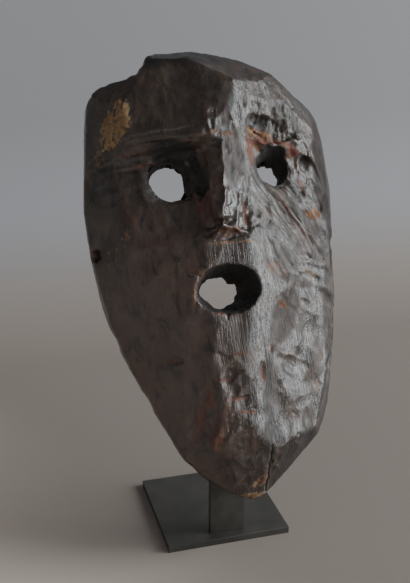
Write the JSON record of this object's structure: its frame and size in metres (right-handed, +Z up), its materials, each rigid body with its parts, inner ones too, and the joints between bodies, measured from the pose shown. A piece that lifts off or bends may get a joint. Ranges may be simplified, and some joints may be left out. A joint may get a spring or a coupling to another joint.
{
  "type": "shaman mask",
  "caption": "Oval face mask hewn from dark wood, with a wedge nose and round eye and mouth holes, leaning back on a small black steel display stand.",
  "frame": {"origin": "centre of the underside of the stand's square plate, on the surface it stands on", "axes": "+Z up, -Y to the front, where the mask faces, +X to the right for a viewer in front"},
  "size_m": [0.186, 0.1566, 0.3331],
  "materials": {
    "wood": "blackened and hand-worn, with a waxy sheen and small reddish wear spots",
    "black_steel": "satin black"
  },
  "bodies": {
    "root": {"mask": "wood", "base_plate": "black_steel", "upright": "black_steel"}
  },
  "joints": []
}
